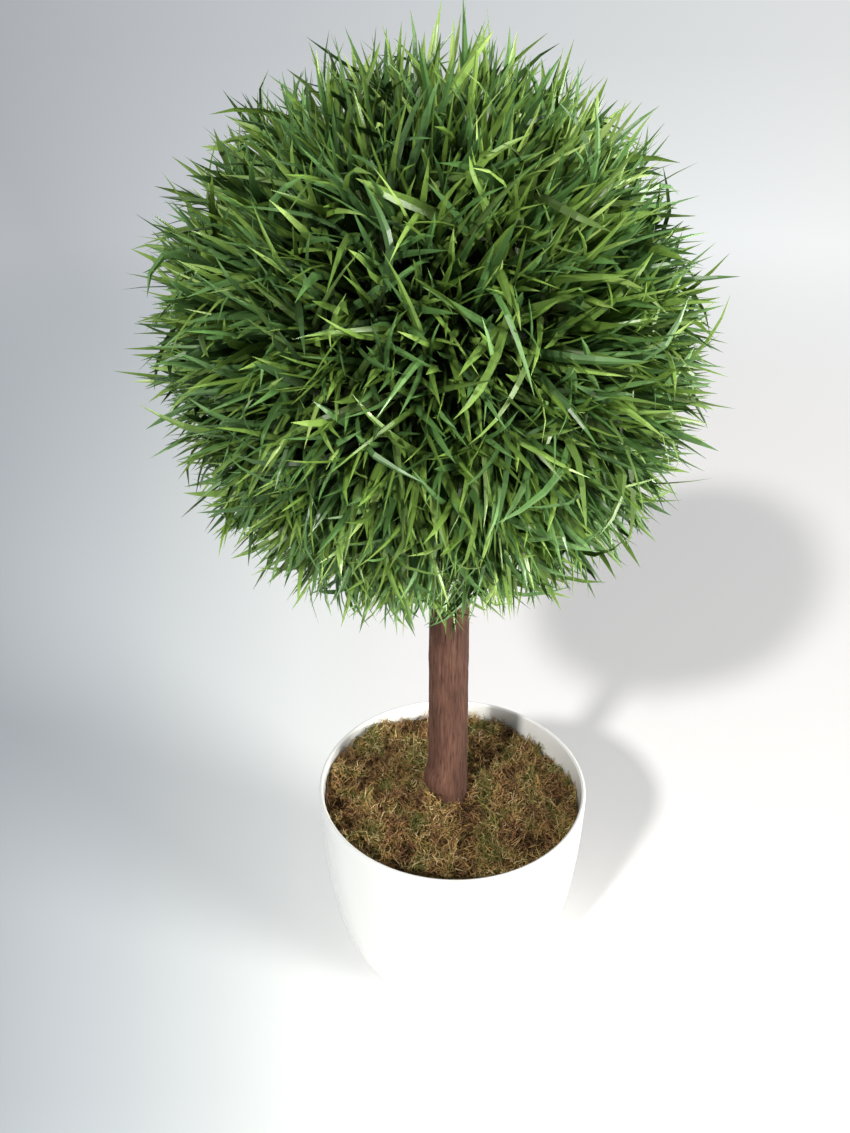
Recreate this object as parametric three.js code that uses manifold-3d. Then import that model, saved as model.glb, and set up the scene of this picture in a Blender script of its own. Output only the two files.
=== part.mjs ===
// A tabletop topiary: a ball of moulded plastic grass on a straight wooden trunk. The trunk is set
// in a plug that fills a white bowl-sided pot, and moss covers the plug.
// Millimetres, +Z up. The origin is the middle of the pot's flat underside.
import * as THREE from "three";
import { mergeVertices } from "three/addons/utils/BufferGeometryUtils.js";
import Module from "manifold-3d";

const wasm = await Module();
wasm.setup();

// ---------------------------------------------------------------- driving dimensions

const CLEAR = 0.3; // gap between neighbouring pieces
const GOLDEN_ANGLE = Math.PI * (3 - Math.sqrt(5));

const POT = {
  height: 110,
  rimRadius: 65,
  footRadius: 40,
  wall: 2,
  floor: 4,
  facets: 48,
  sideSteps: 8,
  lipSteps: 4,
};

const PLUG = { top: 87, socketDepth: 30, gap: 1.2, facets: 24 };

const MOSS = {
  middleTop: 101, // level of the moss at the trunk
  edgeTop: 96, // level of the moss at the pot's wall
  hump: 1.6, // height of its humps
  // Where it is heaped against the wall: direction and spread in degrees, and height.
  heaps: [
    { at: 130, spread: 32, height: 8 },
    { at: 165, spread: 14, height: 6 },
    { at: 66, spread: 13, height: 5 },
    { at: 5, spread: 12, height: 4 },
    { at: 35, spread: 14, height: -2 },
  ],
  facets: 36,
  rings: 6,
  tufts: 88,
  tuftLength: 15,
  shortestTuft: 0.7, // as a share of the longest
  tuftWidth: 3,
  tuftLean: [0.4, 1.5], // least and most that a tuft goes sideways for its rise
  tuftBend: 40, // degrees
};

const TRUNK = {
  x: -2.4, // the trunk stands a little left of the pot's middle
  mossRadius: 9.6, // radius where it leaves the moss
  topRadius: 8.2,
  flare: 1.5, // swelling of its foot
  flareHeight: 26,
  ridge: 0.35, // depth of the bark's ridges
  sides: 16,
  sections: 12,
  depthInBall: 52, // how far it is pushed into the core
};

const BALL = {
  x: -11.5, // the ball sits left of the trunk
  z: 324,
  coreRadius: 62,
  coreDetail: 4,
  tipRadius: 103, // where most blades end
  reach: 116, // where the longest blades end
  // Where the ball swells or is flatter: direction from its middle, and how much further the blades end.
  swells: [
    { toward: [0.5, 0.24, 0.83], by: 6 },
    { toward: [-0.87, 0.14, 0.48], by: 5 },
    { toward: [-0.5, -0.24, -0.83], by: 3 },
    { toward: [0.72, -0.18, -0.67], by: 6 },
    { toward: [0.87, 0.14, 0.48], by: -5 },
    { toward: [-0.26, 0.27, 0.93], by: -2 },
    { toward: [-0.93, -0.1, -0.35], by: -5 },
  ],
  swellSpread: 22, // degrees
};

const SPRIG = {
  count: 232, // bundles of blades pushed into the core
  rootDepth: 21, // depth of a bundle's common root below the core's surface
  blades: 5, // blades in each bundle
  lean: 37, // most that a blade leans from its bundle, in degrees
  turnSpread: 0.7, // how unevenly the blades are turned round their bundle, in radians
  endSpread: 12, // how far the blades' ends differ
  endBias: 0.6, // share of them that end short of the usual distance
  leastBend: 5, // degrees
  mostBend: 30,
  longShare: 0.1, // share of blades that stand out beyond the rest
  longExtra: 6, // least that a long blade stands out beyond the rest
  longBend: 4, // long blades are almost straight
};

const BLADE = {
  width: 6.6,
  keel: 1.5, // depth of its keel
  belly: 0.6, // where along its length it is widest
  rootShare: 0.6, // width of its root as a share of its widest
};

// ---------------------------------------------------------------- colours and finishes

const finish = (name, color, roughness) =>
  new THREE.MeshStandardMaterial({ name, color, roughness, metalness: 0 });

const POT_GLOSS = finish("white_gloss", 0xf2f2f0, 0.18);
const PLUG_FOAM = finish("grey_foam", 0x8a8880, 0.9);
const MOSS_DRY = finish("dry_moss", 0x6a5a26, 1);
const TRUNK_BARK = finish("brown_bark", 0x6b4636, 0.85);
const GRASS_GREEN = finish("grass_green", 0x3f7a2a, 0.5);

// ---------------------------------------------------------------- helpers

// A number from 0 to 1 that depends only on its seed: the same sequence on every run.
function diceFrom(seed) {
  let state = seed >>> 0;
  return () => {
    state = (Math.imul(state, 1664525) + 1013904223) >>> 0;
    return state / 4294967296;
  };
}

const mix = (a, b, share) => a + (b - a) * share;
const radians = THREE.MathUtils.degToRad;

// A closed three.js geometry as a manifold-3d solid.
function toSolid(geometry) {
  const bare = geometry.clone();
  bare.deleteAttribute("normal");
  bare.deleteAttribute("uv");
  const merged = mergeVertices(bare);
  const corners = merged.index.array;
  const kept = [];
  for (let i = 0; i < corners.length; i += 3) {
    const [a, b, c] = corners.slice(i, i + 3);
    if (a !== b && b !== c && a !== c) kept.push(a, b, c);
  }
  return new wasm.Manifold(
    new wasm.Mesh({
      numProp: 3,
      vertProperties: new Float32Array(merged.attributes.position.array),
      triVerts: new Uint32Array(kept),
    }),
  );
}

// A manifold-3d solid as a three.js geometry.
function toGeometry(solid) {
  const mesh = solid.getMesh();
  const places = new Float32Array(mesh.numVert * 3);
  for (let i = 0; i < mesh.numVert; i++) {
    const start = i * mesh.numProp;
    places.set(mesh.vertProperties.subarray(start, start + 3), i * 3);
  }
  const geometry = new THREE.BufferGeometry();
  geometry.setAttribute("position", new THREE.BufferAttribute(places, 3));
  geometry.setIndex(new THREE.BufferAttribute(mesh.triVerts, 1));
  geometry.computeVertexNormals();
  return geometry;
}

// A profile of [radius, height] points turned about the Z axis.
function turned(profile, facets) {
  const points = profile.map(([radius, height]) => new THREE.Vector2(radius, height));
  return new THREE.LatheGeometry(points, facets).rotateX(Math.PI / 2);
}

// A closed body through rings of points. The rings have as many points each, and the last may be one tip.
function loft(rings) {
  const sides = rings[0].length;
  const points = rings.flat();
  const corners = [];
  for (let level = 0; level < rings.length - 1; level++) {
    const low = level * sides;
    const high = low + sides;
    for (let i = 0; i < sides; i++) {
      const next = (i + 1) % sides;
      if (rings[level + 1].length === 1) {
        corners.push(low + i, low + next, high);
      } else {
        corners.push(low + i, low + next, high + next, low + i, high + next, high + i);
      }
    }
  }
  for (let i = 1; i < sides - 1; i++) corners.push(0, i + 1, i);
  if (rings.at(-1).length > 1) {
    const last = points.length - sides;
    for (let i = 1; i < sides - 1; i++) corners.push(last, last + i, last + i + 1);
  }
  const geometry = new THREE.BufferGeometry().setFromPoints(points);
  geometry.setIndex(corners);
  return geometry;
}

function named(name, geometry, material) {
  const mesh = new THREE.Mesh(geometry, material);
  mesh.name = name;
  return mesh;
}

// ---------------------------------------------------------------- pot

// The side is a quarter ellipse: upright at the rim, level at the foot.
function potSide({ rimRadius, footRadius, top, bottom }, steps) {
  return Array.from({ length: steps + 1 }, (_, i) => {
    const turn = (i / steps) * (Math.PI / 2);
    return [
      footRadius + (rimRadius - footRadius) * Math.cos(turn),
      top - (top - bottom) * Math.sin(turn),
    ];
  });
}

const SHOULDER = POT.height - POT.wall / 2; // where the side ends and the rounded lip begins

const outerSide = {
  rimRadius: POT.rimRadius,
  footRadius: POT.footRadius,
  top: SHOULDER,
  bottom: 0,
};

const innerSide = {
  rimRadius: POT.rimRadius - POT.wall,
  footRadius: POT.footRadius - POT.wall,
  top: SHOULDER,
  bottom: POT.floor,
};

// Radius of the pot's inside at a height.
function insideRadius(height) {
  const { rimRadius, footRadius, top, bottom } = innerSide;
  const depth = (top - height) / (top - bottom);
  return footRadius + (rimRadius - footRadius) * Math.sqrt(1 - depth * depth);
}

function makePot() {
  const lipRadius = POT.wall / 2;
  const lip = Array.from({ length: POT.lipSteps - 1 }, (_, i) => {
    const turn = ((i + 1) / POT.lipSteps) * Math.PI;
    return [
      POT.rimRadius - lipRadius + lipRadius * Math.cos(turn),
      SHOULDER + lipRadius * Math.sin(turn),
    ];
  });
  const profile = [
    [0, 0],
    ...potSide(outerSide, POT.sideSteps).reverse(),
    ...lip,
    ...potSide(innerSide, POT.sideSteps),
    [0, POT.floor],
  ];
  return named("pot", turned(profile, POT.facets), POT_GLOSS);
}

// ---------------------------------------------------------------- trunk

const TRUNK_FOOT = PLUG.top - PLUG.socketDepth;
const TRUNK_TOP = BALL.z - BALL.coreRadius + TRUNK.depthInBall;

// The trunk narrows evenly, with a soft swelling at its foot.
function trunkRadius(height) {
  const share = (height - MOSS.middleTop) / (TRUNK_TOP - MOSS.middleTop);
  const up = Math.max(0, height - MOSS.middleTop) / TRUNK.flareHeight;
  const straight = mix(TRUNK.mossRadius, TRUNK.topRadius, share);
  return straight + TRUNK.flare * Math.exp(-3 * up);
}

function makeTrunk() {
  const dice = diceFrom(11);
  const ridges = Array.from({ length: TRUNK.sides }, () => (dice() - 0.5) * 2 * TRUNK.ridge);
  const rings = Array.from({ length: TRUNK.sections + 1 }, (_, level) => {
    const height = mix(TRUNK_FOOT, TRUNK_TOP, level / TRUNK.sections);
    return ridges.map((ridge, side) => {
      const angle = (side / TRUNK.sides) * 2 * Math.PI;
      const wobble = (dice() - 0.5) * TRUNK.ridge;
      const radius = trunkRadius(height) + ridge + wobble;
      return new THREE.Vector3(
        TRUNK.x + radius * Math.cos(angle),
        radius * Math.sin(angle),
        height,
      );
    });
  });
  return named("trunk", loft(rings), TRUNK_BARK);
}

// The room that the trunk needs, from one height to another.
function trunkRoom(from, to) {
  const widest = Math.max(trunkRadius(from), trunkRadius(to)) + 1.5 * TRUNK.ridge + CLEAR;
  const facets = 24;
  const radius = widest / Math.cos(Math.PI / facets);
  const room = new THREE.CylinderGeometry(radius, radius, to - from, facets);
  room.rotateX(Math.PI / 2).translate(TRUNK.x, 0, (from + to) / 2);
  return toSolid(room);
}

// ---------------------------------------------------------------- plug

function makePlug() {
  const bottom = POT.floor + CLEAR;
  const side = potSide(innerSide, 3 * POT.sideSteps)
    .filter(([, height]) => height > bottom + CLEAR && height < PLUG.top - CLEAR)
    .filter((_, i) => i % 3 === 0)
    .map(([radius, height]) => [radius - PLUG.gap, height]);
  const profile = [
    [0, PLUG.top],
    [insideRadius(PLUG.top) - PLUG.gap, PLUG.top],
    ...side,
    [innerSide.footRadius - PLUG.gap, bottom],
    [0, bottom],
  ].reverse();
  const body = toSolid(turned(profile, PLUG.facets));
  const socket = trunkRoom(TRUNK_FOOT - CLEAR, PLUG.top + CLEAR);
  return named("plug", toGeometry(body.subtract(socket)), PLUG_FOAM);
}

// ---------------------------------------------------------------- blades

// One keeled blade: a flat three-sided section that swells to its belly and runs out to a point.
// It starts at root, runs along way, and past its belly bends by bend radians towards side.
function bladeBody({ root, way, side, length, width, keel, bend }) {
  const across = new THREE.Vector3().crossVectors(way, side).normalize();
  const belly = root.clone().addScaledVector(way, length * BLADE.belly);
  const bentWay = way.clone().applyAxisAngle(across, bend);
  const tip = belly.clone().addScaledVector(bentWay, length * (1 - BLADE.belly));
  const section = (middle, heading, share) => {
    const back = new THREE.Vector3().crossVectors(across, heading).normalize();
    return [
      middle.clone().addScaledVector(across, (width * share) / 2),
      middle.clone().addScaledVector(across, (-width * share) / 2),
      middle.clone().addScaledVector(back, keel * share),
    ];
  };
  const halfBent = way.clone().applyAxisAngle(across, bend / 2);
  const rings = [section(root, way, BLADE.rootShare), section(belly, halfBent, 1), [tip]];
  return { line: [root, belly, tip], width, rings };
}

// A direction square to way, turned round it by angle.
function squareTo(way, angle) {
  const pole = Math.abs(way.z) < 0.9 ? new THREE.Vector3(0, 0, 1) : new THREE.Vector3(1, 0, 0);
  return pole.cross(way).normalize().applyAxisAngle(way, angle);
}

// Directions spread evenly over a sphere, from its top to its underside.
function evenDirections(count) {
  return Array.from({ length: count }, (_, i) => {
    const z = 1 - (2 * (i + 0.5)) / count;
    const out = Math.sqrt(1 - z * z);
    const turn = i * GOLDEN_ANGLE;
    return new THREE.Vector3(out * Math.cos(turn), out * Math.sin(turn), z);
  });
}

// ---------------------------------------------------------------- grass ball

const ballMiddle = new THREE.Vector3(BALL.x, 0, BALL.z);

const OUTWARD = [
  new THREE.Vector3(1, 0, 0),
  new THREE.Vector3(-1, 0, 0),
  new THREE.Vector3(0, 1, 0),
  new THREE.Vector3(0, -1, 0),
  new THREE.Vector3(0, 0, 1),
];

// Length that brings a blade's tip to a given distance from the ball's middle.
function lengthTo(tipRadius, root, way) {
  const out = root.clone().sub(ballMiddle);
  const along = out.dot(way);
  return -along + Math.sqrt(along * along + tipRadius * tipRadius - out.lengthSq());
}

// Places along a blade outside the core, each with half the blade's width there.
function marksAlong({ line, width }) {
  const [root, belly, tip] = line;
  const below = [0.25, 0.5, 0.75, 1].map((share) => ({
    place: root.clone().lerp(belly, share),
    half: (width / 2) * mix(BLADE.rootShare, 1, share),
  }));
  const above = [0.25, 0.5, 0.75, 1].map((share) => ({
    place: belly.clone().lerp(tip, share),
    half: (width / 2) * (1 - share),
  }));
  return [...below, ...above].filter(({ place }) => place.distanceTo(ballMiddle) > BALL.coreRadius - 2);
}

// Whether a blade keeps clear of the trunk below the ball's middle.
function clearOfTrunk(marks) {
  return marks.every(({ place, half }) => {
    const fromTrunk = Math.hypot(place.x - TRUNK.x, place.y);
    return place.z > BALL.z || fromTrunk > TRUNK.mossRadius + half + CLEAR;
  });
}

// Whether two blades keep clear of each other.
function apart(marks, others) {
  if (marks[0].place.distanceTo(others[0].place) > BALL.reach - BALL.coreRadius) return true;
  return marks.every(({ place, half }) =>
    others.every((other) => place.distanceTo(other.place) > half + other.half + CLEAR),
  );
}

// How much further than the rest the blades end in a direction.
function swellAt(way) {
  return BALL.swells.reduce((sum, { toward, by }) => {
    const away = THREE.MathUtils.radToDeg(way.angleTo(new THREE.Vector3(...toward)));
    return sum + by * Math.exp(-((away / BALL.swellSpread) ** 2));
  }, 0);
}

function bladesOfSprig(heading, dice) {
  const root = ballMiddle.clone().addScaledVector(heading, BALL.coreRadius - SPRIG.rootDepth);
  const firstTurn = dice() * 2 * Math.PI;
  return Array.from({ length: SPRIG.blades }, (_, i) => {
    const lean = radians(SPRIG.lean) * Math.sqrt((i + 0.5) / SPRIG.blades);
    const turn = firstTurn + i * GOLDEN_ANGLE + (dice() - 0.5) * SPRIG.turnSpread;
    const outward = squareTo(heading, turn);
    const way = heading.clone().multiplyScalar(Math.cos(lean)).addScaledVector(outward, Math.sin(lean));
    const isLong = dice() < SPRIG.longShare;
    const usual = BALL.tipRadius + swellAt(way);
    const tipRadius = isLong
      ? mix(usual + SPRIG.longExtra, BALL.reach, dice())
      : usual + (dice() - SPRIG.endBias) * SPRIG.endSpread;
    const bend = radians(isLong ? SPRIG.longBend : mix(SPRIG.leastBend, SPRIG.mostBend, dice()));
    const side = squareTo(way, dice() * 2 * Math.PI);
    return { root, way, side, tipRadius, bend };
  });
}

// Every blade that grows, those with the ball's full reach first: one points to each side and one up.
function allBlades(dice) {
  const blades = evenDirections(SPRIG.count).flatMap((heading) => bladesOfSprig(heading, dice));
  const outermost = OUTWARD.map((side) =>
    blades.reduce((best, blade) => (blade.way.dot(side) > best.way.dot(side) ? blade : best)),
  );
  for (const blade of outermost) {
    blade.tipRadius = BALL.reach;
    blade.bend = radians(SPRIG.longBend);
  }
  return [...outermost, ...blades.filter((blade) => !outermost.includes(blade))];
}

// The blades that touch neither the trunk nor a blade already placed.
function placedBlades(dice) {
  const placed = [];
  for (const { root, way, side, tipRadius, bend } of allBlades(dice)) {
    const length = lengthTo(tipRadius, root, way);
    const blade = bladeBody({ root, way, side, length, width: BLADE.width, keel: BLADE.keel, bend });
    const marks = marksAlong(blade);
    if (clearOfTrunk(marks) && placed.every((other) => apart(marks, other.marks))) {
      placed.push({ ...blade, marks });
    }
  }
  return placed;
}

function makeGrassBall() {
  const core = new THREE.IcosahedronGeometry(BALL.coreRadius, BALL.coreDetail);
  core.translate(BALL.x, 0, BALL.z);
  const blades = placedBlades(diceFrom(29)).map(({ rings }) => toSolid(loft(rings)));
  const grown = wasm.Manifold.union([toSolid(core), ...blades]);
  const socket = trunkRoom(BALL.z - BALL.reach, TRUNK_TOP + CLEAR);
  return named("grass_ball", toGeometry(grown.subtract(socket)), GRASS_GREEN);
}

// ---------------------------------------------------------------- moss

// How much higher the moss is heaped against the wall in a direction given in degrees.
function heapAt(direction) {
  return MOSS.heaps.reduce((sum, { at, spread, height }) => {
    const away = THREE.MathUtils.euclideanModulo(direction - at + 180, 360) - 180;
    return sum + height * Math.exp(-((away / spread) ** 2));
  }, 0);
}

// Level of the moss at a place: highest at the trunk and at its heaps, with humps.
function mossLevel(x, y) {
  const share = Math.min(1, Math.hypot(x, y) / insideRadius(MOSS.edgeTop));
  const heap = heapAt(THREE.MathUtils.radToDeg(Math.atan2(y, x))) * share ** 3;
  const humps = Math.sin(x / 9 + 1) * Math.cos(y / 7) + Math.sin(x / 5 - y / 8) / 2;
  return mix(MOSS.middleTop, MOSS.edgeTop, share * share) + heap + humps * MOSS.hump;
}

// Tufts that stand up from the moss, between the trunk and the pot's wall.
function tuftsOfMoss(edge) {
  const dice = diceFrom(43);
  const width = MOSS.tuftWidth;
  const up = new THREE.Vector3(0, 0, 1);
  const innermost = trunkRadius(MOSS.middleTop) + width;
  const outermost = edge - width;
  const staysClear = ({ line }) =>
    line.every(({ x, y }) => Math.hypot(x, y) < outermost && Math.hypot(x - TRUNK.x, y) > innermost);
  return Array.from({ length: MOSS.tufts }, (_, i) => {
    const out = outermost * Math.sqrt((i + 0.5) / MOSS.tufts);
    const x = out * Math.cos(i * GOLDEN_ANGLE);
    const y = out * Math.sin(i * GOLDEN_ANGLE);
    const root = new THREE.Vector3(x, y, mossLevel(x, y) - width);
    const lean = squareTo(up, dice() * 2 * Math.PI);
    const way = up.clone().addScaledVector(lean, mix(...MOSS.tuftLean, dice())).normalize();
    const side = squareTo(way, dice() * 2 * Math.PI);
    const length = MOSS.tuftLength * mix(MOSS.shortestTuft, 1, dice());
    return bladeBody({ root, way, side, length, width, keel: width / 3, bend: radians(MOSS.tuftBend) });
  }).filter(staysClear);
}

function makeMoss() {
  const bottom = PLUG.top + CLEAR;
  const edge = insideRadius(bottom) - 3 * CLEAR;
  const hole = 1;
  const top = Array.from({ length: MOSS.rings + 1 }, (_, i) => {
    return [mix(edge, hole, i / MOSS.rings), MOSS.edgeTop];
  });
  const profile = [[hole, bottom], [edge, bottom], ...top, [hole, bottom]];
  const mat = turned(profile, MOSS.facets);
  const places = mat.attributes.position;
  for (let i = 0; i < places.count; i++) {
    if (places.getZ(i) > bottom + 1) places.setZ(i, mossLevel(places.getX(i), places.getY(i)));
  }
  const tufts = tuftsOfMoss(edge).map(({ rings }) => toSolid(loft(rings)));
  const grown = wasm.Manifold.union([toSolid(mat), ...tufts]);
  const hollow = trunkRoom(bottom - CLEAR, MOSS.middleTop + 3 * MOSS.tuftLength);
  return named("moss", toGeometry(grown.subtract(hollow)), MOSS_DRY);
}

// ---------------------------------------------------------------- whole plant

const topiary = new THREE.Group();
topiary.add(makePot(), makePlug(), makeMoss(), makeTrunk(), makeGrassBall());

export default topiary;
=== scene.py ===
"""A tabletop topiary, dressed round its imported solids: a ball of plastic grass on a wooden trunk, in a
white pot topped with moss. Metres, +Z up, and the origin is under the middle of the pot."""

import math

import bpy
import numpy as np
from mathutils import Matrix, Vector, noise


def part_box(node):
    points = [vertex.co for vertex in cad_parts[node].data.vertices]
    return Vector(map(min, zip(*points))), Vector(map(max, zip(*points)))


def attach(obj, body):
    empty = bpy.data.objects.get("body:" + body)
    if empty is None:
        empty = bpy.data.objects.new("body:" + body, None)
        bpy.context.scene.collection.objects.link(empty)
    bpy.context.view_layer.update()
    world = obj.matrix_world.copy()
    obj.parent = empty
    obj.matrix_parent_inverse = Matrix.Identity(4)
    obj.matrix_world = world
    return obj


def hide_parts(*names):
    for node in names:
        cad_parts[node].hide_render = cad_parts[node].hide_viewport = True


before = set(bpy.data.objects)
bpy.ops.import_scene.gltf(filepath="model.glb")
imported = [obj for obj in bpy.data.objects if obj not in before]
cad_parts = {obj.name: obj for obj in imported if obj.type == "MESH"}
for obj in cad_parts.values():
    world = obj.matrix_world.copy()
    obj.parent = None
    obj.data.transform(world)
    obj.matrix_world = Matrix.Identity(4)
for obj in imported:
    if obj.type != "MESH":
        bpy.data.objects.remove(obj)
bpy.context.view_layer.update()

MM = 0.001
GOLDEN_ANGLE = math.pi * (3 - math.sqrt(5))
UP = np.array([0.0, 0.0, 1.0])

# ---------------------------------------------------------------- sizes

POT_LOW, POT_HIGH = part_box("pot")
TRUNK_LOW, TRUNK_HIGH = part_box("trunk")
MOSS_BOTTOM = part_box("moss")[0].z

POT_RIM = (POT_HIGH.x - POT_LOW.x) / 2
POT_TOP = POT_HIGH.z
POT_FOOT = 40 * MM  # radius
POT_WALL = 2.0 * MM
POT_FLOOR = 4 * MM
POT_SHOULDER = POT_TOP - POT_WALL / 2  # where the side ends and the round lip starts

MOSS_MIDDLE = 101 * MM  # level of the moss at the trunk
MOSS_EDGE = 96 * MM  # level of the moss at the pot's wall

TRUNK_X = -2.4 * MM
TRUNK_AT_MOSS = 9.6 * MM  # radius
TRUNK_AT_TOP = 8.2 * MM
BARK_PAINTED_SHADE_START = -12 * MM  # from here to the right the bark is painted darker, as painted shade on the trunk's right side
BARK_PAINTED_SHADE_FULL = 8 * MM

BALL_MIDDLE = np.array([-11.5, 0.0, 324.0]) * MM
CORE_RADIUS = 62 * MM
TIP_RADIUS = 103 * MM  # where most blades end
REACH = 116 * MM  # where the longest blades end

# Where the ball swells or is flatter: direction from its middle, and how much further the blades end.
SWELLS = (
    ((0.5, 0.24, 0.83), 6 * MM),
    ((-0.87, 0.14, 0.48), 5 * MM),
    ((-0.5, -0.24, -0.83), 3 * MM),
    ((0.72, -0.18, -0.67), 6 * MM),
    ((0.87, 0.14, 0.48), -5 * MM),
    ((-0.26, 0.27, 0.93), -2 * MM),
    ((-0.93, -0.1, -0.35), -5 * MM),
)
SWELL_SPREAD = math.radians(22)
SMOOTH_BELOW = math.radians(35)  # a sharper edge than this between two faces is shaded as an edge


# ---------------------------------------------------------------- materials


def srgb(red, green, blue):
    """A colour given as it looks on a screen, from 0 to 255, as Blender's linear colour."""

    def linear(value):
        share = value / 255
        return share / 12.92 if share <= 0.04045 else ((share + 0.055) / 1.055) ** 2.4

    return (linear(red), linear(green), linear(blue), 1.0)


class Tree:
    """Short calls that add nodes to a tree and link them. A value may be a node's output."""

    def __init__(self, tree):
        self.nodes = tree.nodes
        self.links = tree.links

    def give(self, value, target):
        if isinstance(value, bpy.types.NodeSocket):
            self.links.new(value, target)
        else:
            target.default_value = value

    def add(self, kind, **inputs):
        node = self.nodes.new(kind)
        for socket, value in inputs.items():
            self.give(value, node.inputs[socket.replace("_", " ")])
        return node

    def math(self, kind, operation, *values):
        node = self.nodes.new(kind)
        node.operation = operation
        for value, target in zip(values, node.inputs):
            self.give(value, target)
        return next(output for output in node.outputs if output.enabled)

    def number(self, operation, *values):
        """The result of one sum with numbers."""
        return self.math("ShaderNodeMath", operation, *values)

    def vector(self, operation, *values):
        """The result of one sum with vectors."""
        return self.math("ShaderNodeVectorMath", operation, *values)

    def spread(self, value, low, high, start=0, end=1):
        """value from start to end as a number from low to high."""
        inputs = {"Value": value, "From_Min": start, "From_Max": end, "To_Min": low, "To_Max": high}
        return self.add("ShaderNodeMapRange", **inputs).outputs["Result"]

    def soft_share(self, value, start, end):
        """value from start to end as a share from 0 to 1, with soft ends."""
        node = self.add("ShaderNodeMapRange", Value=value, From_Min=start, From_Max=end)
        node.interpolation_type = "SMOOTHSTEP"
        return node.outputs["Result"]

    def ramp(self, value, *stops):
        """A colour for each (position, colour) stop along value."""
        node = self.add("ShaderNodeValToRGB", Fac=value)
        elements = node.color_ramp.elements
        while len(elements) < len(stops):
            elements.new(0.5)
        for element, (position, color) in zip(elements, stops):
            element.position = position
            element.color = color
        return node.outputs["Color"]


class Finish(Tree):
    """A material with a Principled shader, and short calls for the nodes that feed it."""

    def __init__(self, name, color, roughness, **sockets):
        self.material = bpy.data.materials.new(name)
        self.material.use_nodes = True
        super().__init__(self.material.node_tree)
        self.shader = self.nodes["Principled BSDF"]
        self.shader.inputs["Base Color"].default_value = color
        self.shader.inputs["Roughness"].default_value = roughness
        for socket, value in sockets.items():
            self.shader.inputs[socket.replace("_", " ")].default_value = value

    def place(self, stretch=(1, 1, 1)):
        """Object coordinates, stretched along each axis."""
        coordinates = self.add("ShaderNodeTexCoord").outputs["Object"]
        return self.add("ShaderNodeMapping", Vector=coordinates, Scale=stretch).outputs["Vector"]

    def noise(self, scale, detail=4.0, stretch=(1, 1, 1), distortion=0.0):
        inputs = {"Vector": self.place(stretch), "Scale": scale, "Detail": detail, "Distortion": distortion}
        return self.add("ShaderNodeTexNoise", **inputs).outputs["Fac"]

    def times(self, first, second):
        """The product of two colours."""
        node = self.nodes.new("ShaderNodeMix")
        node.data_type = "RGBA"
        node.blend_type = "MULTIPLY"
        for socket, value in (("Factor", 1.0), ("A", first), ("B", second)):
            self.give(value, node.inputs[socket])
        return node.outputs["Result"]

    def feed(self, socket, value):
        self.links.new(value, self.shader.inputs[socket])

    def bump(self, height, depth, strength=1.0):
        node = self.add("ShaderNodeBump", Height=height, Distance=depth, Strength=strength)
        self.feed("Normal", node.outputs["Normal"])


def pot_plastic():
    finish = Finish("pot_white_plastic", srgb(240, 240, 237), 0.2, Coat_Weight=0.3, Coat_Roughness=0.08)
    finish.feed("Roughness", finish.spread(finish.noise(60), 0.14, 0.3))
    finish.bump(finish.noise(25, detail=2), 0.15 * MM, 0.25)
    return finish.material


def plug_foam():
    finish = Finish("plug_foam", srgb(120, 112, 98), 0.9)
    grains = finish.noise(700, detail=6)
    finish.feed("Base Color", finish.ramp(grains, (0.3, srgb(84, 76, 62)), (0.7, srgb(140, 132, 116))))
    finish.bump(grains, 0.4 * MM)
    return finish.material


def bark():
    """Dull reddish brown bark with a fine grain along the trunk, and painted shade that darkens its right
    side.
    """
    finish = Finish("trunk_bark", srgb(98, 70, 59), 0.9, Specular_IOR_Level=0.25)
    fibres = finish.noise(1300, detail=7, stretch=(1, 1, 0.09), distortion=0.5)
    streaks = finish.noise(260, detail=5, stretch=(1, 1, 0.12))
    fine = finish.ramp(
        fibres,
        (0.3, srgb(76, 53, 44)),
        (0.48, srgb(106, 74, 61)),
        (0.62, srgb(114, 81, 67)),
        (0.8, srgb(138, 103, 87)),
    )
    broad = finish.ramp(streaks, (0.35, srgb(212, 206, 204)), (0.65, srgb(255, 252, 250)))
    # Painted shade: the bark's colour is darkened towards its right side, away from the light.
    across = finish.add("ShaderNodeSeparateXYZ", Vector=finish.place()).outputs["X"]
    into_painted_shade = finish.soft_share(across, BARK_PAINTED_SHADE_START, BARK_PAINTED_SHADE_FULL)
    side = finish.ramp(into_painted_shade, (0.2, srgb(255, 255, 255)), (1.0, srgb(196, 194, 192)))
    finish.feed("Base Color", finish.times(finish.times(fine, broad), side))
    finish.feed("Roughness", finish.spread(fibres, 0.95, 0.75))
    finish.bump(fibres, 0.2 * MM, 0.7)
    return finish.material


def core_foam():
    finish = Finish("core_foam", srgb(34, 50, 28), 0.9)
    grains = finish.noise(500, detail=5)
    finish.feed("Base Color", finish.ramp(grains, (0.3, srgb(26, 36, 20)), (0.7, srgb(46, 66, 36))))
    finish.bump(grains, 0.5 * MM)
    return finish.material


def plastic_grass(name, color, gloss):
    """Satin moulded plastic. Its gloss is uneven, and its colour is plain because each sprig has its own."""
    finish = Finish(name, color, 0.38, Specular_IOR_Level=gloss)
    finish.feed("Roughness", finish.spread(finish.noise(300, detail=3), 0.2, 0.45))
    return finish.material


def moss_fibre(name, color):
    return Finish(name, color, 0.85, Specular_IOR_Level=0.2).material


def moss_ground():
    finish = Finish("moss_ground", srgb(90, 72, 40), 1.0, Specular_IOR_Level=0.1)
    tangle = finish.noise(900, detail=8, distortion=1.5)
    finish.feed(
        "Base Color",
        finish.ramp(tangle, (0.35, srgb(44, 36, 20)), (0.55, srgb(100, 80, 44)), (0.75, srgb(146, 118, 66))),
    )
    finish.bump(tangle, 1.2 * MM)
    return finish.material


# ---------------------------------------------------------------- mesh helpers


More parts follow.
